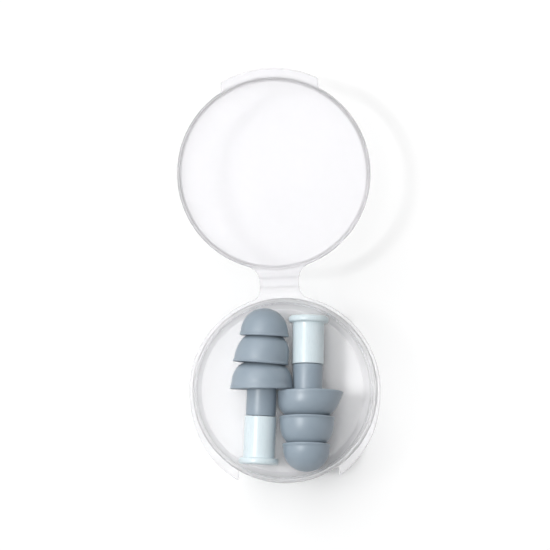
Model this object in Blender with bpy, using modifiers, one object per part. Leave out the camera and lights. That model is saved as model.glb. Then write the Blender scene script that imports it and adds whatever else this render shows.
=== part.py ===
"""Two reusable triple-flange ear plugs in a clear round flip-top case, lid open flat.

Metres, +Z up. The origin is the middle of the case's underside, and the lid lies towards +Y.
"""

import math

import bmesh
import bpy
from mathutils import Vector

MM = 0.001

# Case base: a round cup with a flange near its rim and a lip that the lid snaps over.
FLOOR_TOP = 0.9
BASE_INNER = (16.4, 17.45, 17.7)  # inside radius at the floor, at the knee and at the rim
BASE_OUTER = (16.95, 18.05, 18.3)  # outside radius at the foot, at the knee and at the flange
KNEE_HEIGHT = 4.0  # the wall stands nearly upright above it and draws in below it
INNER_CORNER = 0.5
FOOT_CORNER = 0.6
FLANGE_TOP = 15.4
FLANGE_THICK = 0.9
FLANGE_RADIUS = 19.15
FLANGE_FRONT_RADIUS = 18.95  # the front half flares: its arc is centred further forward
FLANGE_FRONT_SHIFT = 1.5
NOTCH_HALF_WIDTH = 10.0
LIP_TOP = 17.4
BEAD_HEIGHT = 16.6
BEAD_RADIUS = 18.5

# Lid: a shallow cap, open side up when open.
LID_CENTRE_Y = 43.5
LID_RADIUS = 19.4
LID_INNER = 18.8
LID_TOP = 15.4
LID_UNDERSIDE = 12.6
PANEL_THICK = 0.8
LID_CORNER = 0.6
TAB_RADIUS = 21.1
TAB_HALF_WIDTH = 9.75
TAB_THICK = 0.9

# Living hinge: a strip in two leaves that fold face to face.
FOLD_Y = 21.75
FOLD_Z = 15.55
HINGE_HALF_WIDTH = 4.0
BASE_FILLET = 2.2
LID_FILLET = 3.2
GAP = 0.3

# Ear plug, measured along its axis from the tip.
DOME_RADIUS = 4.75
RIM_PLACES = (5.6, 11.1, 16.1)
RIM_RADII = (5.0, 5.75, 6.3)
SKIRT_STARTS = (0.0, 5.4, 10.9)
SKIRT_SHOULDERS = (4.8, 10.4, 15.0)
HOLLOW_TOPS = (3.7, 8.5, 13.3)
CORE_RADII = (2.75, 2.85, 2.98)
RIM_THICK = 0.75
SLEEVE_END = 21.6
BORE_RADIUS, BORE_END = 1.6, 8.0
SPIGOT_RADIUS, SPIGOT_END = 1.3, 8.4
HANDLE_RADIUS, HANDLE_START = 3.15, 21.9
DISC_RADIUS, DISC_START = 4.0, 30.1
PLUG_LENGTH = 31.4

CASE_STEPS = 48
TIP_STEPS = 24
HANDLE_STEPS = 20


def material(name, colour, roughness, alpha=1.0):
    made = bpy.data.materials.new(name)
    made.use_nodes = True
    shader = made.node_tree.nodes["Principled BSDF"]
    shader.inputs["Base Color"].default_value = (*colour, 1.0)
    shader.inputs["Roughness"].default_value = roughness
    shader.inputs["Metallic"].default_value = 0.0
    shader.inputs["Alpha"].default_value = alpha
    return made


def arc(centre, radius, start, end, steps):
    """Points in the plane on a circle, from one angle in degrees to another."""
    for k in range(steps + 1):
        angle = math.radians(start + (end - start) * k / steps)
        yield centre[0] + radius * math.cos(angle), centre[1] + radius * math.sin(angle)


def quarter_ellipse(start, end, steps):
    """(radius, distance from the tip) pairs: out from the core at start, then along the plug to end."""
    for k in range(steps + 1):
        angle = math.radians(90 * k / steps)
        radius = start[0] + (end[0] - start[0]) * math.sin(angle)
        yield radius, start[1] + (end[1] - start[1]) * (1 - math.cos(angle))


def add_object(name, data, collection, look=None):
    made = bpy.data.objects.new(name, data)
    if look:
        data.materials.append(look)
    collection.objects.link(made)
    return made


def turned(name, profile, steps, collection, look=None):
    """A solid of revolution about Z, from (radius, height) points that run from the top down the outside."""
    points = [(radius * MM, 0, height * MM) for radius, height in profile]
    mesh = bpy.data.meshes.new(name)
    mesh.from_pydata(points, [(k, k + 1) for k in range(len(points) - 1)], [])
    made = add_object(name, mesh, collection, look)
    screw = made.modifiers.new("Turn", "SCREW")
    screw.steps = screw.render_steps = steps
    screw.use_merge_vertices = True
    screw.merge_threshold = 0.00001
    screw.use_smooth_shade = True
    return made


def plate(name, outline, bottom, top, collection, look=None):
    """A flat plate between two heights, from a closed outline of (x, y) points."""
    curve = bpy.data.curves.new(name, "CURVE")
    curve.dimensions = "2D"
    curve.fill_mode = "BOTH"
    curve.extrude = (top - bottom) / 2 * MM
    spline = curve.splines.new("POLY")
    spline.points.add(len(outline) - 1)
    for point, (x, y) in zip(spline.points, outline):
        point.co = (x * MM, y * MM, 0, 1)
    spline.use_cyclic_u = True
    drawn = add_object(name + "_outline", curve, collection)
    drawn.location.z = (bottom + top) / 2 * MM
    bpy.context.view_layer.update()
    evaluated = drawn.evaluated_get(bpy.context.evaluated_depsgraph_get())
    mesh = bpy.data.meshes.new_from_object(evaluated)
    place = drawn.matrix_world.copy()
    bpy.data.objects.remove(drawn)
    work = bmesh.new()
    work.from_mesh(mesh)
    bmesh.ops.remove_doubles(work, verts=work.verts, dist=0.000001)
    work.to_mesh(mesh)
    work.free()
    made = add_object(name, mesh, collection, look)
    made.matrix_world = place
    return made


def boolean(target, tool, operation):
    modifier = target.modifiers.new(operation.title(), "BOOLEAN")
    modifier.operation = operation
    modifier.solver = "EXACT"
    modifier.object = tool
    tool.hide_render = True
    tool.display_type = "WIRE"


def baked(made):
    """Replaces the object's modifiers by the mesh that they give."""
    bpy.context.view_layer.update()
    evaluated = made.evaluated_get(bpy.context.evaluated_depsgraph_get())
    mesh = bpy.data.meshes.new_from_object(evaluated)
    made.modifiers.clear()
    made.data = mesh
    mesh.set_sharp_from_angle(angle=math.radians(40))
    return made


def flange_outline():
    """Round at the back, flared at the front, and cut back to the wall where the lid's tab comes down."""
    corner = math.degrees(math.asin(NOTCH_HALF_WIDTH / FLANGE_FRONT_RADIUS))
    wall = BASE_OUTER[2] - 0.1
    wall_corner = math.degrees(math.asin(NOTCH_HALF_WIDTH / wall))
    meet = 8.0
    outline = list(arc((0, 0), FLANGE_RADIUS, -meet, 180 + meet, 48))
    front = (0, -FLANGE_FRONT_SHIFT)
    outline += arc(front, FLANGE_FRONT_RADIUS, 180, 270 - corner, 16)
    outline += arc((0, 0), wall, 270 - wall_corner, 270 + wall_corner, 16)
    outline += arc(front, FLANGE_FRONT_RADIUS, 270 + corner, 360, 16)
    return outline


def case_base(parts, helpers, look):
    rim = BASE_OUTER[2]
    profile = [(0, LIP_TOP), (rim - 0.25, LIP_TOP), (rim, LIP_TOP - 0.2), (rim, BEAD_HEIGHT + 0.4)]
    profile += [(BEAD_RADIUS, BEAD_HEIGHT + 0.1), (BEAD_RADIUS, BEAD_HEIGHT - 0.1), (rim, BEAD_HEIGHT - 0.4)]
    profile += [(rim, FLANGE_TOP - FLANGE_THICK), (BASE_OUTER[1], KNEE_HEIGHT)]
    profile += arc((BASE_OUTER[0] - FOOT_CORNER, FOOT_CORNER), FOOT_CORNER, 0, -90, 3)
    profile += [(0, 0)]
    base = turned("case_base", profile, CASE_STEPS, parts, look)
    boolean(
        base,
        plate("flange_plate", flange_outline(), FLANGE_TOP - FLANGE_THICK, FLANGE_TOP, helpers),
        "UNION",
    )
    corner = BASE_INNER[0] - INNER_CORNER
    hollow = [(0, LIP_TOP + 1), (BASE_INNER[2], LIP_TOP + 1), (BASE_INNER[2], LIP_TOP - 0.1)]
    hollow += [(BASE_INNER[1], KNEE_HEIGHT)]
    hollow += arc((corner, FLOOR_TOP + INNER_CORNER), INNER_CORNER, 0, -90, 3)
    hollow += [(0, FLOOR_TOP)]
    boolean(base, turned("base_hollow", hollow, CASE_STEPS, helpers), "DIFFERENCE")
    return baked(base)


def tab_outline():
    edge = math.degrees(math.asin(TAB_HALF_WIDTH / TAB_RADIUS))
    root = LID_INNER + 0.4
    root_edge = math.degrees(math.asin(TAB_HALF_WIDTH / root))
    outline = list(arc((0, 0), TAB_RADIUS, 90 - edge, 90 + edge, 16))
    outline += arc((0, 0), root, 90 + root_edge, 90 - root_edge, 12)
    return [(x, y + LID_CENTRE_Y) for x, y in outline]


def case_lid(parts, helpers, look):
    profile = [(0, LID_TOP), (LID_RADIUS, LID_TOP)]
    profile += arc((LID_RADIUS - LID_CORNER, LID_UNDERSIDE + LID_CORNER), LID_CORNER, 0, -90, 3)
    profile += [(0, LID_UNDERSIDE)]
    lid = turned("case_lid", profile, CASE_STEPS, parts, look)
    panel_top = LID_UNDERSIDE + PANEL_THICK
    hollow = [(0, LID_TOP + 1), (LID_INNER, LID_TOP + 1), (LID_INNER, panel_top + 0.25)]
    hollow += [(LID_INNER - 0.2, panel_top), (0, panel_top)]
    hollow_cutter = turned("lid_hollow", hollow, CASE_STEPS, helpers)
    for piece in (lid, hollow_cutter):
        piece.location.y = LID_CENTRE_Y * MM
    boolean(lid, plate("tab_plate", tab_outline(), LID_TOP - TAB_THICK, LID_TOP, helpers), "UNION")
    boolean(lid, hollow_cutter, "DIFFERENCE")
    return baked(lid)


def hinge_leaf(name, centre_y, rim_radius, fillet, parts, look):
    """A leaf from the fold to a rim, with a fillet on each side. It is drawn as for a rim centred on the origin."""
    root = rim_radius + GAP
    side = HINGE_HALF_WIDTH + fillet
    rise = math.sqrt((root + fillet) ** 2 - side**2)
    turn = math.degrees(math.atan2(rise, side))
    right = list(arc((side, rise), fillet, 180 + turn, 180, 5))
    fold = abs(FOLD_Y - centre_y) - GAP / 2
    right += [(HINGE_HALF_WIDTH, fold)]
    outline = right + [(-x, y) for x, y in reversed(right)]
    outline += list(arc((0, 0), root, 180 - turn, turn, 10))[1:-1]
    facing = 1 if centre_y < FOLD_Y else -1
    outline = [(facing * x, centre_y + facing * y) for x, y in outline]
    return plate(name, outline, FLANGE_TOP - FLANGE_THICK, FLANGE_TOP, parts, look)


def tip_profile():
    """Dome, three hollow skirts and the sleeve, then the blind bore for the handle's spigot."""
    starts = [(0.0, SKIRT_STARTS[0]), (CORE_RADII[0], SKIRT_STARTS[1]), (CORE_RADII[1], SKIRT_STARTS[2])]
    shoulders = [DOME_RADIUS, RIM_RADII[1] - 0.05, RIM_RADII[2] - 0.05]
    profile = []
    for k, rim in enumerate(RIM_PLACES):
        profile += quarter_ellipse(starts[k], (shoulders[k], SKIRT_SHOULDERS[k]), 5)
        outer, inner = RIM_RADII[k], RIM_RADII[k] - RIM_THICK
        profile += [(outer, rim - 0.2), (outer - 0.2, rim), (inner + 0.15, rim), (inner, rim - 0.15)]
        top, core = HOLLOW_TOPS[k], CORE_RADII[k]
        profile += [(inner - 0.35, top + 1.0), (inner - 0.9, top + 0.1), (core + 0.3, top), (core, top + 0.3)]
    sleeve = CORE_RADII[2]
    profile += [(sleeve, SLEEVE_END - 0.15), (sleeve - 0.15, SLEEVE_END)]
    profile += [(BORE_RADIUS, SLEEVE_END), (BORE_RADIUS, BORE_END), (0, BORE_END)]
    return [(radius, -place) for radius, place in profile]


def handle_profile():
    profile = [(0, SPIGOT_END), (SPIGOT_RADIUS - 0.2, SPIGOT_END), (SPIGOT_RADIUS, SPIGOT_END + 0.2)]
    profile += [(SPIGOT_RADIUS, HANDLE_START), (HANDLE_RADIUS - 0.15, HANDLE_START)]
    profile += [(HANDLE_RADIUS, HANDLE_START + 0.15), (HANDLE_RADIUS, DISC_START)]
    profile += [(DISC_RADIUS - 0.15, DISC_START), (DISC_RADIUS, DISC_START + 0.15)]
    profile += [(DISC_RADIUS, PLUG_LENGTH - 0.5), (DISC_RADIUS - 0.15, PLUG_LENGTH - 0.15)]
    profile += [(DISC_RADIUS - 0.5, PLUG_LENGTH), (0, PLUG_LENGTH)]
    return [(radius, -place) for radius, place in profile]


def press_last_skirt(tip, sideways, half_width, offset):
    """Moves the last skirt's rim sideways and sets its width there, as the neighbouring plug presses it."""
    core, rim = CORE_RADII[2] + 0.02, RIM_RADII[2]
    for vertex in tip.data.vertices:
        place = -vertex.co.z / MM
        radius = math.hypot(vertex.co.x, vertex.co.y) / MM
        if place < RIM_PLACES[1] + 0.01 or place > RIM_PLACES[2] + 0.01 or radius < core:
            continue
        share = (radius - core) / (rim - core)
        across = vertex.co.dot(sideways)
        moved = across * share * (half_width / rim - 1) + share * offset * MM
        vertex.co += sideways * moved


def plug(side, tip_place, yaw, pitch, half_width, offset, parts, looks):
    """A plug that points from its tip towards yaw, in degrees from +X, with its handle lowered by pitch."""
    level = math.cos(math.radians(pitch))
    along = Vector((math.cos(math.radians(yaw)) * level, math.sin(math.radians(yaw)) * level, 0))
    along.z = -math.sin(math.radians(pitch))
    turn = Vector((0, 0, -1)).rotation_difference(along)
    holder = bpy.data.objects.new(f"plug_{side}_place", None)
    parts.objects.link(holder)
    holder.location = Vector(tip_place) * MM
    holder.rotation_mode = "QUATERNION"
    holder.rotation_quaternion = turn
    tip = baked(turned(f"plug_{side}_tip", tip_profile(), TIP_STEPS, parts, looks["tip"]))
    sideways = turn.inverted() @ along.cross(Vector((0, 0, 1))).normalized()
    press_last_skirt(tip, sideways, half_width, offset)
    handle = baked(turned(f"plug_{side}_handle", handle_profile(), HANDLE_STEPS, parts, looks["handle"]))
    for piece in (tip, handle):
        piece.parent = holder


def hang(pieces, name, place, parts):
    """Parents the pieces to an empty on their joint's axis and leaves them where they are."""
    pivot = bpy.data.objects.new(name, None)
    parts.objects.link(pivot)
    pivot.location = Vector(place) * MM
    bpy.context.view_layer.update()
    for piece in pieces:
        piece.parent = pivot
        piece.matrix_parent_inverse = pivot.matrix_world.inverted()


def main():
    for existing in list(bpy.data.objects):
        bpy.data.objects.remove(existing, do_unlink=True)
    parts = bpy.data.collections.new("ear_plugs_in_case")
    helpers = bpy.data.collections.new("cutters")
    for collection in (parts, helpers):
        bpy.context.scene.collection.children.link(collection)

    clear = material("clear_polypropylene", (0.93, 0.93, 0.96), 0.15, 0.3)
    looks = {
        "tip": material("blue_grey_elastomer", (0.33, 0.39, 0.45), 0.55),
        "handle": material("pale_aqua_plastic", (0.78, 0.88, 0.9), 0.35),
    }
    case_base(parts, helpers, clear)
    lid = case_lid(parts, helpers, clear)
    hinge_leaf("hinge_leaf_base", 0, FLANGE_RADIUS, BASE_FILLET, parts, clear)
    lid_leaf = hinge_leaf("hinge_leaf_lid", LID_CENTRE_Y, LID_RADIUS, LID_FILLET, parts, clear)
    hang([lid, lid_leaf], "lid_pivot", (0, FOLD_Y, FOLD_Z), parts)

    plug("left", (-2.85, 16.7, 7.05), -95.5, -1.5, 6.25, 0.25, parts, looks)
    plug("right", (3.55, -16.5, 9.3), 85.9, 6.0, 6.5, 0.55, parts, looks)


main()
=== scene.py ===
"""Two reusable triple-flange ear plugs in a clear flip-top case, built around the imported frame.

Named lengths are in millimetres, as in the part's source, and MM turns them into metres.
"""

import math

import bmesh
import bpy
import numpy as np
from mathutils import Matrix, Vector


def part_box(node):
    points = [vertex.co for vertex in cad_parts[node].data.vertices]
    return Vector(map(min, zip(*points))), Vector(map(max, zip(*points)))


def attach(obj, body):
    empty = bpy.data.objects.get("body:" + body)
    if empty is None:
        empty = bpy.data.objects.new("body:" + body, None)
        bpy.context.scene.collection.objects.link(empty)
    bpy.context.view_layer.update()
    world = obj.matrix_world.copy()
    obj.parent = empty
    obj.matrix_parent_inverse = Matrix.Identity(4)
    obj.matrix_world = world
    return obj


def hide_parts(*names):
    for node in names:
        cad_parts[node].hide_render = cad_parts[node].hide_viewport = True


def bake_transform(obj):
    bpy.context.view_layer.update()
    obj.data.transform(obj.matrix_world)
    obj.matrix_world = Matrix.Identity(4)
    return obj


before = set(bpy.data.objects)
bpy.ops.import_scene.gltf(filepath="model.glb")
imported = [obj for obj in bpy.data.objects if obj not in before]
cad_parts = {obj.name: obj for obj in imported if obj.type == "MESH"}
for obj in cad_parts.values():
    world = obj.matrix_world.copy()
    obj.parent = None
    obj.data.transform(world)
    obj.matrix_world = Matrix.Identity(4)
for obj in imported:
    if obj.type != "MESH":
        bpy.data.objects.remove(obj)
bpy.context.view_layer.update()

MM = 0.001

# Case: what its nodes' boxes don't give, and the moulded details.
FLOOR_TOP = 0.9
INNER_FOOT, INNER_KNEE, INNER_RIM = 16.4, 17.4, 17.7
OUTER_FOOT, OUTER_KNEE, OUTER_RIM = 16.95, 18.0, 18.3
KNEE_HEIGHT = 4.0
INNER_CORNER, FOOT_CORNER = 0.35, 0.45
LIP_RISE = 2.0
BEAD_HEIGHT, BEAD_DEPTH, BEAD_HALF = 16.6, 0.2, 0.4
FLANGE_TOP, PLATE_THICK = 15.4, 0.9
FLARE_RADIUS, FLARE_SHIFT = 18.95, 1.5
FLARE_FROM = 60  # degrees from the hinge
FLARE_BLEND = 0.01  # square millimetres: how softly the round back runs into the flare
NOTCH_HALF, NOTCH_LEDGE, NOTCH_CORNER = 10.0, 0.15, 0.3
GATE_RADIUS, GATE_DEPTH = 1.4, 0.04
LID_WALL, LID_BEAD = 0.45, 0.15
LID_CORNER, LID_INNER_CORNER = 0.7, 0.35
PANEL_THICK = 0.8
SUPPORT_GAP = 0.3  # between a corner's arc and the ring that keeps the flat beside it flat
SNAP_HEIGHT, SNAP_DEPTH, SNAP_HALF = 0.4, 0.32, 0.22
TAB_HALF, TAB_CORNER, TAB_FILLET = 9.75, 0.35, 1.0
EDGE_ROUND, ROOT_ROUND, ROOT_CLEAR = 0.2, 0.15, 0.5
EDGE_SHARE, ROOT_SHARE = 0.35, 0.3  # the most of a narrow overhang that each rounding takes

# Living hinge: two leaves and the thin web between them.
NECK_HALF = 4.0
BASE_FILLET, LID_FILLET = 2.2, 3.2
WEB_HALF, WEB_THICK, WEB_RAMP = 0.9, 0.5, 1.5
WEB_LAP, WEB_INSET, WEB_SINK = 0.03, 0.04, 0.01  # how far it stays within the leaves' ends, sides and faces
WEB_CORNER, WEB_MARGIN = 0.12, 0.5
LEAF_END_ROUND = 0.05  # the share of an edge's rounding that is left where a leaf meets the web

# Ear plug, measured along its axis from the tip.
PLUG_LENGTH = 31.4
RIM_PLACES = (5.6, 11.1, 16.25)
RIM_RADII = (5.0, 5.75, 6.3)
SKIRT_STARTS = ((0.0, 0.0), (2.75, 5.4), (2.85, 10.9))
SHOULDERS = ((4.78, 4.9), (5.55, 10.5), (6.1, 15.0))
HOLLOW_TOPS = (3.7, 8.5, 13.3)
CORE_RADII = (2.75, 2.85, 2.98)
RIM_THICK = 0.75
RIM_OUTER_ROUND, RIM_INNER_ROUND = 0.28, 0.25
ROOF_RISE, ROOF_INSET, ROOF_FOOT = 1.4, 0.5, 0.45
SLEEVE_END, SLEEVE_ROUND = 21.6, 0.12
BORE_RADIUS, BORE_END = 1.6, 8.0
SPIGOT_RADIUS, SPIGOT_END = 1.3, 8.4
BORE_CHAMFER, END_CHAMFER = 0.1, 0.2
HANDLE_RADIUS, HANDLE_START, HANDLE_ROUND = 3.15, 21.72, 0.15
DISC_RADIUS, DISC_START = 4.0, 30.1
DISC_ROOT, DISC_INNER_ROUND, DISC_OUTER_ROUND = 0.2, 0.45, 0.5

# How each skirt is bent by what it lies against: its half width at the rim, and how far the rim is shifted
# away from the other plug and tilted. The bend grows over PRESS_LENGTH up to the rim.
PRESS_LENGTH = 4.0
PRESSES = {
    "left": [(4.95, 0.0, 0.0), (5.6, 0.5, -0.2), (6.33, 0.05, 0.29)],
    "right": [(4.85, 0.0, 0.0), (5.6, 0.05, 0.0), (6.6, 0.65, 0.05)],
}

# Fineness of the meshes.
CASE_STEP = 0.45
FLANGE_SPINS = 400
LEAST_TURN = 0.02  # degrees between two neighbouring points of an outline
PLATE_LOOPS = 10
TURN_STEPS = 160
SHARP_ANGLE = 38  # degrees
# Radii of the rings on each flat face, in the order that its body's rings run.
FLOOR_RINGS, SOLE_RINGS = (1.5, 5, 9, 13, 15.5), (16.0, 12, 6, 1.8)
CEILING_RINGS, PANEL_RINGS = (1.5, 5, 9, 13, 16), (14, 10, 6, 1.8)
DISC_RINGS = 2.6, 1.2


# Lines and arcs, as points in millimetres

def spot(centre, radius, angle):
    """A point on a circle, at an angle in degrees from +y towards +x."""
    turn = math.radians(angle)
    return centre[0] + radius * math.sin(turn), centre[1] + radius * math.cos(turn)


def bow(centre, radius, start, end, steps):
    """Points on a circle between two angles, both included."""
    return [spot(centre, radius, start + (end - start) * k / steps) for k in range(steps + 1)]


def line(start, end, steps):
    """Evenly spaced points from start up to, and without, end."""
    return [tuple(a + (b - a) * k / steps for a, b in zip(start, end)) for k in range(steps)]


def even(points, spacing):
    """The same line with points about one spacing apart. Its ends stay."""
    points = [Vector(p) for p in points]
    ends = np.cumsum([0.0] + [(b - a).length for a, b in zip(points, points[1:])])
    places = np.linspace(0, ends[-1], max(2, round(ends[-1] / spacing) + 1))
    axes = [np.interp(places, ends, [p[axis] for p in points]) for axis in (0, 1)]
    return list(zip(*axes))


def bearing(point):
    """Angle of a point from +y, the hinge's side, in degrees."""
    return math.degrees(math.atan2(point[0], point[1]))


def bump(height, wall, depth, half, steps):
    """A smooth bead around a wall, as (radius, height) pairs from high to low. Depth is outwards."""
    made = []
    for k in range(steps + 1):
        share = 1 - 2 * k / steps
        made.append((wall + depth * 0.5 * (1 + math.cos(math.pi * share)), height + half * share))
    return made


# Case outlines: the right half, from the middle of the hinge to the middle of the front,
# measured from the rim's centre with +y towards the hinge.

def neck(rim, fillet, reach):
    """The leaf's end, its side and the fillet that runs into the rim."""
    side = NECK_HALF + fillet
    rise = math.sqrt((rim + fillet) ** 2 - side**2)
    late = math.degrees(math.asin(max(0.0, rise - reach) / fillet))
    curve = bow((side, rise), fillet, 270 - late, 180 + bearing((side, rise)), 14)
    corner = (curve[0][0], reach)
    end = line((0.0, reach), corner, 10)
    flank = line(corner, curve[0], 3) if reach > rise else []
    return end + flank + curve


def flange_radius(angle, rim):
    """The base flange is round at the back and flares towards the front."""
    front = math.radians(180 - angle)
    across = FLARE_SHIFT * math.sin(front)
    gain = FLARE_SHIFT * math.cos(front) + math.sqrt(FLARE_RADIUS**2 - across**2) - rim
    return rim + 0.5 * (gain + math.sqrt(gain**2 + FLARE_BLEND))


def base_outline(rim, reach):
    """The base's flange with the notch at the front that the lid's tab drops into."""
    back = neck(rim, BASE_FILLET, reach)
    across, within = NOTCH_HALF + NOTCH_CORNER, FLARE_RADIUS - NOTCH_CORNER
    centre = (across, -FLARE_SHIFT - math.sqrt(within**2 - across**2))
    turn = 180 - math.degrees(math.asin(across / within))
    corner = bow(centre, NOTCH_CORNER, turn, 270, 5)
    start, end = bearing(back[-1]), bearing(corner[0])
    sweep = []
    for k in range(FLANGE_SPINS):
        angle = start + (end - start) * k / FLANGE_SPINS
        sweep.append(spot((0, 0), flange_radius(angle, rim) if angle > FLARE_FROM else rim, angle))
    sweep.append(corner[0])
    ledge = OUTER_RIM + NOTCH_LEDGE
    first = 180 - math.degrees(math.asin(NOTCH_HALF / ledge))
    notch = bow((0, 0), ledge, first, 180, round(math.radians(180 - first) * ledge / CASE_STEP))
    side = line(corner[-1], notch[0], 4)
    return back + even(sweep, CASE_STEP)[1:] + corner[1:] + side[1:] + notch


def lid_outline(rim, tab, reach):
    """The lid's rim with the thumb tab at the front."""
    back = neck(rim, LID_FILLET, reach)
    hollow_x = TAB_HALF + TAB_FILLET
    hollow = (hollow_x, -math.sqrt((rim + TAB_FILLET) ** 2 - hollow_x**2))
    corner_x = TAB_HALF - TAB_CORNER
    corner = (corner_x, -math.sqrt((tab - TAB_CORNER) ** 2 - corner_x**2))
    start, meet, turn = bearing(back[-1]), bearing(hollow), bearing(corner)
    sweep = bow((0, 0), rim, start, meet, round(math.radians(meet - start) * rim / CASE_STEP))
    curve = bow(hollow, TAB_FILLET, meet + 180, 270, 6)
    flank = line(curve[-1], (TAB_HALF, corner[1]), 4)
    end = bow(corner, TAB_CORNER, 90, turn, 5)
    front = bow((0, 0), tab, turn, 180, round(math.radians(180 - turn) * tab / CASE_STEP))
    return back + sweep[1:] + curve[1:] + flank[1:] + end + front[1:]


def whole(half):
    """The full closed outline from its right half."""
    return np.array(half + [(-x, y) for x, y in reversed(half[1:-1])])


def wall_bearings(half):
    """The bearing at which each point of an outline leaves the wall. They stay in order past an undercut
    side."""
    made = [bearing(point) for point in half]
    for k in range(len(made) - 2, -1, -1):
        made[k] = min(made[k], made[k + 1] - LEAST_TURN)
    return np.radians(made + [-angle for angle in reversed(made[1:-1])])


def ring(bearings, radius, height):
    """A ring of points around the rim's axis. The radius may differ from point to point."""
    flat = np.stack([np.sin(bearings) * radius, np.cos(bearings) * radius], 1)
    return np.column_stack([flat, np.full(len(bearings), height)])


def rings(bearings, profile):
    return [ring(bearings, radius, height) for radius, height in profile]


def plate_heights(y, reach):
    """Top and underside of the flange's plate, thinned towards the end of the leaf."""
    share = np.clip((y - reach + WEB_RAMP) / WEB_RAMP, 0, 1)
    lost = share**2 * (3 - 2 * share) * (PLATE_THICK - WEB_THICK)
    return FLANGE_TOP - 0.5 * lost, FLANGE_TOP - PLATE_THICK + 0.5 * lost


def plate_rings(outline, inner_top, inner_bottom, reach):
    """Rings out over a plate's top, round its edge and back along its underside."""
    along = np.roll(outline, -1, 0) - np.roll(outline, 1, 0)
    out = np.stack([-along[:, 1], along[:, 0]], 1) / np.linalg.norm(along, axis=1)[:, None]
    top, bottom = plate_heights(outline[:, 1], reach)
    overhang = np.linalg.norm(outline - inner_top, axis=1)
    thin = (top - bottom) / PLATE_THICK
    thin[outline[:, 1] > reach - WEB_SINK] = LEAF_END_ROUND
    drop = EDGE_ROUND * thin
    inset = np.minimum(EDGE_ROUND * thin**2, EDGE_SHARE * overhang)
    edge = outline - out * inset[:, None]

    def at(points, lowered):
        """The points on the plate's top and on its underside, both moved into it."""
        over, under = plate_heights(points[:, 1], reach)
        return np.column_stack([points, over - lowered]), np.column_stack([points, under + lowered])

    upper, lower = [], []
    for share in np.linspace(0, 1, PLATE_LOOPS + 1):
        upper.append(at(inner_top + (edge - inner_top) * share, 0)[0])
        lower.append(at(inner_bottom + (edge - inner_bottom) * share, 0)[1])
    for turn in np.radians((22.5, 45, 67.5, 90)):
        corner = outline - out * (inset * (1 - math.sin(turn)))[:, None]
        over, under = at(corner, drop * (1 - math.cos(turn)))
        upper.append(over)
        lower.append(under)
    return upper + lower[::-1]


def skin(work, rows):
    """Faces between neighbouring rows of vertices. Each row closes on itself."""
    count = len(rows[0])
    for a, b in zip(rows, rows[1:]):
        for k in range(count):
            work.faces.new((a[k], a[(k + 1) % count], b[(k + 1) % count], b[k]))


def loft(name, loops, ends, centre_y=0.0, facing=1):
    """A closed body through loops of equally many points. ends are the heights of its two poles on the
    axis, and facing -1 mirrors it along y."""
    work = bmesh.new()
    rows = []
    for loop in loops:
        rows.append([work.verts.new((x * MM, (centre_y + facing * y) * MM, z * MM)) for x, y, z in loop])
    count = len(rows[0])
    skin(work, rows)
    for row, height in ((rows[0], ends[0]), (rows[-1], ends[1])):
        pole = work.verts.new((0, centre_y * MM, height * MM))
        for k in range(count):
            work.faces.new((row[k], row[(k + 1) % count], pole))
    return finished(name, work)


def finished(name, work):
    """The mesh object of a bmesh, with its faces turned outwards, and smooth but for its sharp edges."""
    bmesh.ops.recalc_face_normals(work, faces=work.faces)
    mesh = bpy.data.meshes.new(name)
    work.to_mesh(mesh)
    work.free()
    mesh.shade_smooth()
    mesh.set_sharp_from_angle(angle=math.radians(SHARP_ANGLE))
    made = bpy.data.objects.new(name, mesh)
    bpy.context.scene.collection.objects.link(made)
    return made


def root_rings(bearings, outline, wall, above):
    """The small fillet between the wall and the plate, above it or below it, and where it ends."""
    overhang = np.linalg.norm(outline, axis=1) - wall
    size = np.minimum(ROOT_ROUND, ROOT_SHARE * overhang)
    plane = FLANGE_TOP if above else FLANGE_TOP - PLATE_THICK
    side = 1 if above else -1
    made = []
    for turn in np.radians((0, 30, 60)):
        radius = wall + size * (1 - math.cos(turn))
        made.append(ring(bearings, radius, plane + side * ROOT_ROUND * (1 - math.sin(turn))))
    return made, ring(bearings, wall + size, plane)[:, :2]


def gate_mark():
    """The faint dimple in the middle of an outside, as (radius, depth) pairs from its rim inwards."""
    return [(GATE_RADIUS * share, GATE_DEPTH * (1 - share**2) ** 2) for share in (0.8, 0.6, 0.4, 0.2)]


def toe_centre(radius, corner, lean):
    """How far out an arc has its middle, between a flat and a wall that leans out by lean degrees."""
    return radius - corner * math.tan(math.radians(45 - lean / 2))


def base_wall(height):
    """Outer radius of the cup's wall: it stands nearly upright above the knee and draws in below it."""
    return float(np.interp(height, (0, KNEE_HEIGHT, FLANGE_TOP), (OUTER_FOOT, OUTER_KNEE, OUTER_RIM)))


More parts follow.
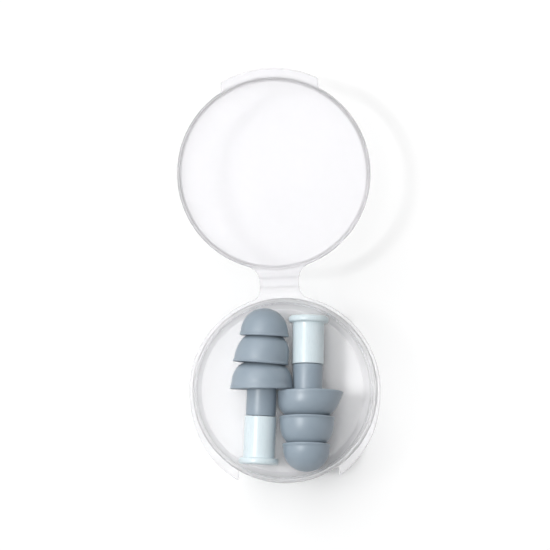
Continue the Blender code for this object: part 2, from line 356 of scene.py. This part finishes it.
def case_base(rim, reach):
    """The cup: floor, wall, snap lip, flange with its notch, and the base's leaf of the hinge."""
    half = base_outline(rim, reach)
    outline, around = whole(half), wall_bearings(half)
    floor = [(radius, FLOOR_TOP) for radius in FLOOR_RINGS]
    lean = math.degrees(math.atan2(INNER_KNEE - INNER_FOOT, KNEE_HEIGHT - FLOOR_TOP))
    centre = (toe_centre(INNER_FOOT, INNER_CORNER, lean), FLOOR_TOP + INNER_CORNER)
    corner = bow(centre, INNER_CORNER, 180, 90 + lean, 6)
    lip = FLANGE_TOP + LIP_RISE
    inside = line((INNER_KNEE, KNEE_HEIGHT), (INNER_RIM, lip - EDGE_ROUND), 7)
    edge = bow((INNER_RIM + EDGE_ROUND, lip - EDGE_ROUND), EDGE_ROUND, 270, 360, 4)
    edge += bow((OUTER_RIM - EDGE_ROUND, lip - EDGE_ROUND), EDGE_ROUND, 0, 90, 4)
    bead = bump(BEAD_HEIGHT, OUTER_RIM, BEAD_DEPTH, BEAD_HALF, 8)
    above, start_top = root_rings(around, outline, OUTER_RIM, True)
    below, start_bottom = root_rings(around, outline, base_wall(FLANGE_TOP - PLATE_THICK), False)
    top = FLANGE_TOP - PLATE_THICK - ROOT_CLEAR
    outside = line((base_wall(top), top), (OUTER_KNEE, KNEE_HEIGHT), 5)
    lean = math.degrees(math.atan2(OUTER_KNEE - OUTER_FOOT, KNEE_HEIGHT))
    centre = (toe_centre(OUTER_FOOT, FOOT_CORNER, lean), FOOT_CORNER)
    toe = [(OUTER_KNEE, KNEE_HEIGHT)] + bow(centre, FOOT_CORNER, 90 + lean, 180, 6)
    sole = [(radius, 0.0) for radius in (*SOLE_RINGS, GATE_RADIUS)]
    gate = gate_mark()
    loops = rings(around, floor + corner + inside + edge + bead)
    loops += above + plate_rings(outline, start_top, start_bottom, reach) + below[::-1]
    loops += rings(around, outside + toe + sole + gate)
    return loft("clear_case_base", loops, (FLOOR_TOP, GATE_DEPTH))


def case_lid(rim, tab, underside, reach, centre_y):
    """The shallow cap: panel, skirt with its snap ridge, thumb tab, and the lid's leaf of the hinge."""
    half = lid_outline(rim, tab, reach)
    outline, around = whole(half), wall_bearings(half)
    inner = rim - LID_BEAD - LID_WALL
    wall = rim - LID_BEAD
    panel = underside + PANEL_THICK
    flat = (*CEILING_RINGS, inner - LID_INNER_CORNER - SUPPORT_GAP)
    ceiling = [(radius, panel) for radius in flat]
    centre = (inner - LID_INNER_CORNER, panel + LID_INNER_CORNER)
    corner = bow(centre, LID_INNER_CORNER, 180, 90, 7)
    ridge = bump(FLANGE_TOP - SNAP_HEIGHT, inner, -SNAP_DEPTH, SNAP_HALF, 8)[::-1]
    edge = bow((inner + EDGE_ROUND, FLANGE_TOP - EDGE_ROUND), EDGE_ROUND, 280, 345, 3)
    below, start_bottom = root_rings(around, outline, wall, False)
    start_top = ring(around, inner + EDGE_ROUND, FLANGE_TOP)[:, :2]
    shoulder = bow((wall - LID_CORNER, underside + LID_CORNER), LID_CORNER, 90, 180, 8)
    upright = line((wall, FLANGE_TOP - PLATE_THICK - SUPPORT_GAP), shoulder[0], 2)
    flat = (wall - LID_CORNER - SUPPORT_GAP, *PANEL_RINGS, GATE_RADIUS)
    outside = [(radius, underside) for radius in flat]
    gate = [(radius, underside + depth) for radius, depth in gate_mark()]
    loops = rings(around, ceiling + corner + ridge + edge)
    loops += plate_rings(outline, start_top, start_bottom, reach) + below[::-1]
    loops += rings(around, upright + shoulder + outside + gate)
    return loft("clear_case_lid", loops, (panel, underside + GATE_DEPTH), centre_y, -1)


def hinge_web(fold):
    """The thin web between the two leaves, let a hair into both."""
    top, bottom = plate_heights(np.array([fold]), fold)
    middle, thick = (top[0] + bottom[0]) / 2, WEB_THICK / 2 - WEB_SINK
    soft, width = WEB_CORNER, NECK_HALF - WEB_INSET
    section = bow((width - soft, middle + thick - soft), soft, 0, 90, 4)
    section += bow((width - soft, middle - thick + soft), soft, 90, 180, 4)
    section += line((width - soft - WEB_MARGIN, middle - thick), (-width + soft, middle - thick), 10)
    section += bow((-width + soft, middle - thick + soft), soft, 180, 270, 4)
    section += bow((-width + soft, middle + thick - soft), soft, 270, 360, 4)
    section += line((-width + soft + WEB_MARGIN, middle + thick), (width - soft, middle + thick), 10)
    work = bmesh.new()
    rows = []
    for y in np.linspace(fold - WEB_HALF - WEB_LAP, fold + WEB_HALF + WEB_LAP, 25):
        rows.append([work.verts.new((x * MM, y * MM, z * MM)) for x, z in section])
    skin(work, rows)
    work.faces.new(rows[0])
    work.faces.new(rows[-1])
    return finished("hinge_web", work)


# Ear plugs: profiles as (radius, distance from the tip)

def quarter_ellipse(start, end, steps):
    """Out from the core at start, then along the plug to end."""
    made = []
    for k in range(steps + 1):
        angle = math.radians(90 * k / steps)
        radius = start[0] + (end[0] - start[0]) * math.sin(angle)
        made.append((radius, start[1] + (end[1] - start[1]) * (1 - math.cos(angle))))
    return made


def skirt(k):
    """A skirt's outside, its rounded rim and the hollow behind it."""
    shoulder, rim, radius = SHOULDERS[k], RIM_PLACES[k], RIM_RADII[k]
    outside = quarter_ellipse(SKIRT_STARTS[k], shoulder, 20)
    if k == 0:
        outside = outside[1:]
    outer, inner = RIM_OUTER_ROUND, radius - RIM_THICK
    outside += line(shoulder, (radius, rim - outer), 4)[1:]
    turned = bow((radius - outer, rim - outer), outer, 90, 0, 5)
    turned += bow((inner + RIM_INNER_ROUND, rim - RIM_INNER_ROUND), RIM_INNER_ROUND, 360, 270, 5)
    top, core = HOLLOW_TOPS[k], CORE_RADII[k]
    roof = quarter_ellipse((core + ROOF_INSET, top), (inner - RIM_INNER_ROUND, top + ROOF_RISE), 8)[::-1]
    foot = bow((core + ROOF_FOOT, top + ROOF_FOOT), ROOF_FOOT, 360, 270, 4)[1:]
    return outside + turned + roof + foot


def sleeve_profile():
    """The sleeve behind the last skirt, its end and the blind bore for the handle's spigot."""
    sleeve = CORE_RADII[2]
    made = line((sleeve, RIM_PLACES[2] - 1), (sleeve, SLEEVE_END - SLEEVE_ROUND), 4)
    made += bow((sleeve - SLEEVE_ROUND, SLEEVE_END - SLEEVE_ROUND), SLEEVE_ROUND, 90, 0, 3)
    made += [(BORE_RADIUS + BORE_CHAMFER, SLEEVE_END), (BORE_RADIUS, SLEEVE_END - BORE_CHAMFER)]
    made += line((BORE_RADIUS, SLEEVE_END - 1), (BORE_RADIUS, BORE_END), 5)
    return made + [(BORE_RADIUS, BORE_END + END_CHAMFER), (BORE_RADIUS - END_CHAMFER, BORE_END)]


def handle_profile():
    """Spigot, grip and the end disc with its rounded edges, and the places of its two ends."""
    made = [(SPIGOT_RADIUS - END_CHAMFER, SPIGOT_END), (SPIGOT_RADIUS, SPIGOT_END + END_CHAMFER)]
    made += line((SPIGOT_RADIUS, SPIGOT_END + 0.5), (SPIGOT_RADIUS, HANDLE_START), 5)
    made += [(SPIGOT_RADIUS + 0.02, HANDLE_START)]
    made += bow((HANDLE_RADIUS - HANDLE_ROUND, HANDLE_START + HANDLE_ROUND), HANDLE_ROUND, 180, 90, 4)
    made += line((HANDLE_RADIUS, HANDLE_START + 0.4), (HANDLE_RADIUS, DISC_START - 0.25), 8)
    made += bow((HANDLE_RADIUS + DISC_ROOT, DISC_START - DISC_ROOT), DISC_ROOT, 270, 360, 4)
    inner, outer = DISC_INNER_ROUND, DISC_OUTER_ROUND
    made += bow((DISC_RADIUS - inner, DISC_START + inner), inner, 180, 90, 6)
    made += bow((DISC_RADIUS - outer, PLUG_LENGTH - outer), outer, 90, 0, 6)
    made += [(radius, PLUG_LENGTH) for radius in DISC_RINGS]
    return made, (SPIGOT_END, PLUG_LENGTH)


def press(loops, k, half_width, offset, tilt):
    """Bends one skirt, in the terms of PRESSES. Its core stays round."""
    rim = RIM_RADII[k]
    for loop in loops:
        share = np.clip((loop[:, 2] - RIM_PLACES[k] + PRESS_LENGTH) / PRESS_LENGTH, 0, 1)
        share *= np.hypot(loop[:, 0], loop[:, 1]) > CORE_RADII[k] + 0.02
        across = loop[:, 1].copy()
        loop[:, 1] += share * (across * (half_width / rim - 1) + offset)
        loop[:, 2] += share * tilt * across / rim


def plug_place(side):
    """A plug's matrix: x up, y away from the other plug, z from the tip to the handle. The handle is round,
    so its long axis is the plug's."""
    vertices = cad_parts[f"plug_{side}_handle"].data.vertices
    points = np.unique(np.round([vertex.co[:] for vertex in vertices], 7), axis=0)
    centre = points.mean(0)
    axis = np.linalg.eigh(np.cov((points - centre).T))[1][:, -1]
    along = (points - centre) @ axis
    spread = np.linalg.norm(points - centre - np.outer(along, axis), axis=1)
    if np.dot(along, spread) < 0:
        axis, along = -axis, -along
    tip = Vector(centre + axis * (along.max() - PLUG_LENGTH * MM))
    onward = Vector(axis)
    away = onward.cross(Vector((0, 0, 1))).normalized()
    up = away.cross(onward)
    return Matrix.Translation(tip) @ Matrix((up, away, onward)).transposed().to_4x4()


def plug(side):
    """The tip and the handle of one plug."""
    around = np.radians(np.linspace(0, 360, TURN_STEPS, endpoint=False))
    tip = []
    for k, change in enumerate(PRESSES[side]):
        loops = rings(around, skirt(k))
        press(loops, k, *change)
        tip += loops
    tip += rings(around, sleeve_profile())
    grip, ends = handle_profile()
    made = [loft(f"ear_plug_{side}_tip", tip, (0.0, BORE_END))]
    made.append(loft(f"ear_plug_{side}_handle", rings(around, grip), ends))
    for piece in made:
        piece.matrix_world = plug_place(side)
    return made


# Materials

# The clear plastic: a low refractive index keeps its edges faint, and some of its light scatters inside.
PLASTIC_IOR = 1.25
PLASTIC_HAZE = 0.05  # roughness
MILK = 0.3
SCATTER_LENGTH = 2.0
# The cup and the cap are one plastic. Their two tints differ only to set how bright each looks: the cap's
# darker tint is painted shade and the cup's lighter tint is painted light.
CUP_TINT, CAP_TINT = (0.93, 0.922, 0.945), (0.9, 0.893, 0.92)
# Share of a lamp's light that passes a wall head-on and at a slant.
CUP_PASSES, CAP_PASSES = (0.98, 0.9), (0.995, 0.1)
ELASTOMER_TINTS = (0.262, 0.32, 0.375), (0.277, 0.335, 0.39)
HANDLE_TINTS = (0.64, 0.725, 0.76), (0.66, 0.745, 0.78)


class Nodes:
    """A material's node tree, with short calls to add nodes and links."""

    def __init__(self, name):
        self.material = bpy.data.materials.new(name)
        self.material.use_nodes = True
        self.tree = self.material.node_tree
        self.tree.nodes.clear()

    def add(self, kind, settings=None, **inputs):
        node = self.tree.nodes.new("ShaderNode" + kind)
        for key, value in (settings or {}).items():
            setattr(node, key, value)
        for key, value in inputs.items():
            self.put(node, key.replace("_", " "), value)
        return node

    def put(self, node, socket, value):
        if isinstance(value, bpy.types.NodeSocket):
            self.tree.links.new(value, node.inputs[socket])
        else:
            node.inputs[socket].default_value = value

    def noise(self, size, detail=2.0, stretch=(1, 1, 1)):
        """Noise in the piece's own space, whose grains are about size millimetres."""
        place = self.add("TexCoord").outputs["Object"]
        mapped = self.add("Mapping", Vector=place, Scale=stretch).outputs[0]
        return self.add("TexNoise", Vector=mapped, Scale=1 / (size * MM), Detail=detail).outputs["Fac"]

    def between(self, factor, low, high):
        ramp = self.add("MapRange", Value=factor)
        for socket, value in (("From Min", 0.3), ("From Max", 0.7), ("To Min", low), ("To Max", high)):
            self.put(ramp, socket, value)
        return ramp.outputs[0]

    def tinted(self, factor, low, high):
        mix = self.add("Mix", {"data_type": "RGBA"})
        self.put(mix, 0, self.between(factor, 0, 1))
        mix.inputs[6].default_value = (*low, 1)
        mix.inputs[7].default_value = (*high, 1)
        return mix.outputs[2]

    def bumped(self, height, depth):
        """A bump whose full swing is depth millimetres."""
        return self.add("Bump", Height=height, Strength=1.0, Distance=depth * MM).outputs[0]

    def finish(self, shader):
        output = self.add("OutputMaterial")
        self.tree.links.new(shader, output.inputs["Surface"])
        return self.material


def clear_plastic(name, tint, passes):
    """Clear moulded polypropylene: a faint milky haze, slow ripples from the mould and fine scuffs. Lamps
    reach through it, and less of their light passes where it strikes a wall at a slant."""
    nodes = Nodes(name)
    ripples = nodes.noise(3.5, 1.0)
    scuffs = nodes.noise(0.5, 3.0, (1, 0.25, 1))
    body = nodes.add("BsdfPrincipled", Base_Color=(*tint, 1), IOR=PLASTIC_IOR)
    nodes.put(body, "Transmission Weight", 1 - MILK)
    nodes.put(body, "Roughness", nodes.between(scuffs, PLASTIC_HAZE * 0.6, PLASTIC_HAZE * 1.4))
    nodes.put(body, "Normal", nodes.bumped(ripples, 0.02))
    nodes.put(body, "Subsurface Weight", 1.0)
    nodes.put(body, "Subsurface Radius", (1.0, 1.0, 1.0))
    nodes.put(body, "Subsurface Scale", SCATTER_LENGTH * MM)
    slant = nodes.add("LayerWeight", Blend=0.5).outputs["Facing"]
    shade = nodes.add("MapRange", Value=slant)
    for socket, value in zip(("From Min", "From Max", "To Min", "To Max"), (0.3, 0.8, *passes)):
        nodes.put(shade, socket, value)
    through = nodes.add("BsdfTransparent", Color=shade.outputs[0]).outputs[0]
    rays = nodes.add("LightPath")
    shader = body.outputs[0]
    for kind in ("Is Shadow Ray", "Is Diffuse Ray"):
        mix = nodes.add("MixShader", Fac=rays.outputs[kind])
        nodes.tree.links.new(shader, mix.inputs[1])
        nodes.tree.links.new(through, mix.inputs[2])
        shader = mix.outputs[0]
    return nodes.finish(shader)


def elastomer(name, low, high):
    """Soft satin elastomer: a fine velvety grain, faint mottling and a dusty sheen."""
    nodes = Nodes(name)
    grain = nodes.noise(0.12, 3.0)
    mottle = nodes.noise(2.5, 2.0)
    body = nodes.add("BsdfPrincipled", Base_Color=nodes.tinted(mottle, low, high))
    nodes.put(body, "Roughness", nodes.between(mottle, 0.36, 0.44))
    nodes.put(body, "Normal", nodes.bumped(grain, 0.012))
    nodes.put(body, "Specular IOR Level", 0.7)
    nodes.put(body, "Sheen Weight", 0.05)
    nodes.put(body, "Sheen Roughness", 0.4)
    nodes.put(body, "Subsurface Weight", 0.08)
    nodes.put(body, "Subsurface Radius", (0.6, 0.7, 0.8))
    nodes.put(body, "Subsurface Scale", MM)
    return nodes.finish(body.outputs[0])


def pale_plastic(name, low, high):
    """Smooth pale plastic with a satin gloss, slow ripples and faint drag marks along the plug."""
    nodes = Nodes(name)
    ripples = nodes.noise(1.6, 1.0, (1, 1, 0.3))
    drag = nodes.noise(0.15, 2.0, (1, 1, 0.06))
    body = nodes.add("BsdfPrincipled", Base_Color=nodes.tinted(ripples, low, high))
    nodes.put(body, "Roughness", nodes.between(drag, 0.24, 0.36))
    nodes.put(body, "Normal", nodes.bumped(ripples, 0.01))
    nodes.put(body, "Subsurface Weight", 0.15)
    nodes.put(body, "Subsurface Radius", (0.8, 1.0, 1.0))
    nodes.put(body, "Subsurface Scale", MM)
    return nodes.finish(body.outputs[0])


def pale_floor():
    nodes = Nodes("pale_floor")
    body = nodes.add("BsdfPrincipled", Base_Color=(0.9, 0.9, 0.9, 1), Roughness=0.9)
    nodes.put(body, "Specular IOR Level", 0.1)
    return nodes.finish(body.outputs[0])


# Studio

# Lamps: strength, and in degrees the spread, the bearing from +y towards +x and the elevation.
KEY_LAMP = 1.35, 10.0, 278, 57
SOFTBOX = 1.3, 60.0, 330, 42
OVERHEAD_LAMP = 0.85, 25.0, 278, 84
ROOM_FILL = 0.26
FLOOR_HALF, FLOOR_DROP = 4000.0, 0.02

# The camera looks at VIEW_CENTRE and sees VIEW_WIDTH across.
VIEW_WIDTH = 110.0
VIEW_CENTRE = (-0.81, 23.19, 15.4)
VIEW_ROLL, VIEW_LEAN = 2.9, 1.65  # degrees
CAMERA_DISTANCE = 2000.0
SENSOR_WIDTH = 36.0


def camera():
    """Straight above the case and a little to its left, turned so that the case leans to the left."""
    roll, lean = math.radians(VIEW_ROLL), math.radians(VIEW_LEAN)
    right = Vector((math.cos(roll), -math.sin(roll), 0))
    centre = Vector(VIEW_CENTRE) * MM
    above = Vector((0, 0, 1)) * CAMERA_DISTANCE * MM
    place = centre + above - right * math.tan(lean) * CAMERA_DISTANCE * MM
    place.y -= VIEW_CENTRE[1] * MM
    back = (place - centre).normalized()
    side = (right - back * right.dot(back)).normalized()
    turn = Matrix((side, back.cross(side), back)).transposed().to_4x4()
    data = bpy.data.cameras.new("camera")
    data.sensor_width = SENSOR_WIDTH
    data.lens = data.sensor_width * (place - centre).length / (VIEW_WIDTH * MM)
    data.clip_start, data.clip_end = 0.1, 20.0
    made = bpy.data.objects.new("camera", data)
    made.matrix_world = Matrix.Translation(place) @ turn
    bpy.context.scene.collection.objects.link(made)
    bpy.context.scene.camera = made


def sun(name, strength, spread, stands_at, elevation):
    """A soft lamp far away."""
    data = bpy.data.lights.new(name, "SUN")
    data.energy = strength
    data.angle = math.radians(spread)
    made = bpy.data.objects.new(name, data)
    turn, height = math.radians(stands_at), math.radians(elevation)
    level = math.cos(height)
    toward = Vector((math.sin(turn) * level, math.cos(turn) * level, math.sin(height)))
    made.rotation_mode = "QUATERNION"
    made.rotation_quaternion = toward.to_track_quat("Z", "Y")
    made.location = toward
    bpy.context.scene.collection.objects.link(made)
    return made


def studio():
    """Soft lamps from the left and from the hinge's side, in a pale room. The lamp overhead is
    cross-polarised, so it leaves no glare."""
    world = bpy.data.worlds.new("studio")
    world.use_nodes = True
    world.node_tree.nodes["Background"].inputs["Color"].default_value = (ROOM_FILL, ROOM_FILL, ROOM_FILL, 1)
    bpy.context.scene.world = world
    sun("key", *KEY_LAMP)
    sun("softbox", *SOFTBOX)
    sun("overhead", *OVERHEAD_LAMP).visible_glossy = False
    bpy.context.scene.view_settings.view_transform = "Standard"
    work = bmesh.new()
    bmesh.ops.create_grid(work, x_segments=2, y_segments=2, size=FLOOR_HALF * MM)
    mesh = bpy.data.meshes.new("floor")
    work.to_mesh(mesh)
    work.free()
    floor = bpy.data.objects.new("floor", mesh)
    floor.location.z = -FLOOR_DROP * MM
    mesh.materials.append(pale_floor())
    bpy.context.scene.collection.objects.link(floor)


def dress(piece, material, nodes, body):
    """Gives a piece its material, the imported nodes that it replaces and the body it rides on."""
    piece.data.materials.append(material)
    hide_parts(*nodes)
    if body:
        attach(piece, body)


def main():
    camera()
    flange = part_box("case_base")[1].x / MM
    lid_low, lid_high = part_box("case_lid")
    rim = lid_high.x / MM
    lid_y = lid_low.y / MM + rim
    tab = lid_high.y / MM - lid_y
    fold = (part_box("hinge_leaf_base")[1].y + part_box("hinge_leaf_lid")[0].y) / 2 / MM
    cup = clear_plastic("clear_polypropylene_cup", CUP_TINT, CUP_PASSES)
    cap = clear_plastic("clear_polypropylene_cap", CAP_TINT, CAP_PASSES)
    base = case_base(flange, fold - WEB_HALF)
    lid = case_lid(rim, tab, lid_low.z / MM, lid_y - fold - WEB_HALF, lid_y)
    web = hinge_web(fold)
    dress(base, cup, ["case_base", "hinge_leaf_base"], "case")
    dress(lid, cap, ["case_lid", "hinge_leaf_lid"], "lid")
    dress(web, cap, [], None)
    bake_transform(web)

    soft = elastomer("blue_grey_elastomer", *ELASTOMER_TINTS)
    pale = pale_plastic("pale_aqua_plastic", *HANDLE_TINTS)
    for side in ("left", "right"):
        tip, handle = plug(side)
        dress(tip, soft, [f"plug_{side}_tip"], f"plug_{side}")
        dress(handle, pale, [f"plug_{side}_handle"], f"plug_{side}")
    studio()


main()
